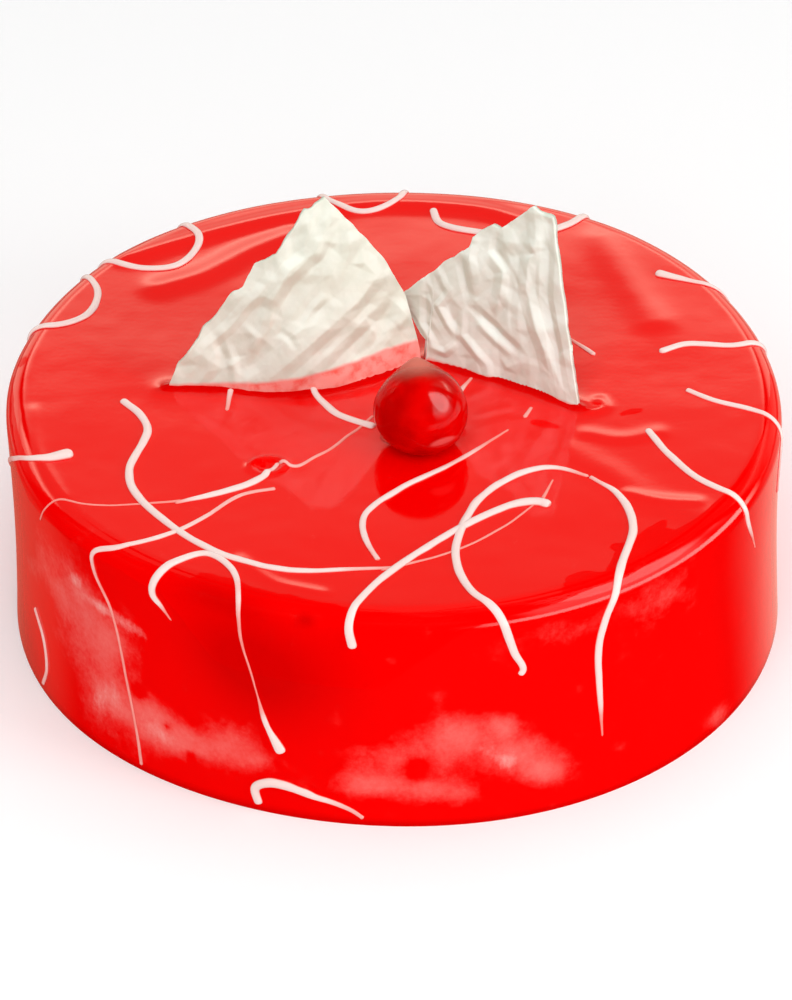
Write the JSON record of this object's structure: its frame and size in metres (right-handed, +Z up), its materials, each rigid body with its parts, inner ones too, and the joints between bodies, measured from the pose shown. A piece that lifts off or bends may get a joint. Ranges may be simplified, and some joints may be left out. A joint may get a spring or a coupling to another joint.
{
  "type": "glazed honey cake",
  "caption": "Round low cake under red mirror glaze, with piped white drizzle over its top and wall, crumpled white shards standing in its top and a glazed cherry.",
  "frame": {"origin": "centre of the cake's flat underside, on the surface that it stands on", "axes": "+Z up, +X to the right as seen from the front, -Y towards the front, where the cherry lies before the shards"},
  "size_m": [0.1999, 0.1998, 0.1114],
  "materials": {
    "glaze": "mirror-bright red jelly glaze",
    "drizzle": "white icing with a faint pink cast, softly glossy",
    "shard": "white chocolate pressed on crumpled foil, satin",
    "cherry": "dark red cocktail cherry under clear jelly"
  },
  "bodies": {
    "root": {"cake": "glaze", "shard_left": "shard", "shard_right": "shard", "cherry": "cherry"}
  },
  "joints": []
}
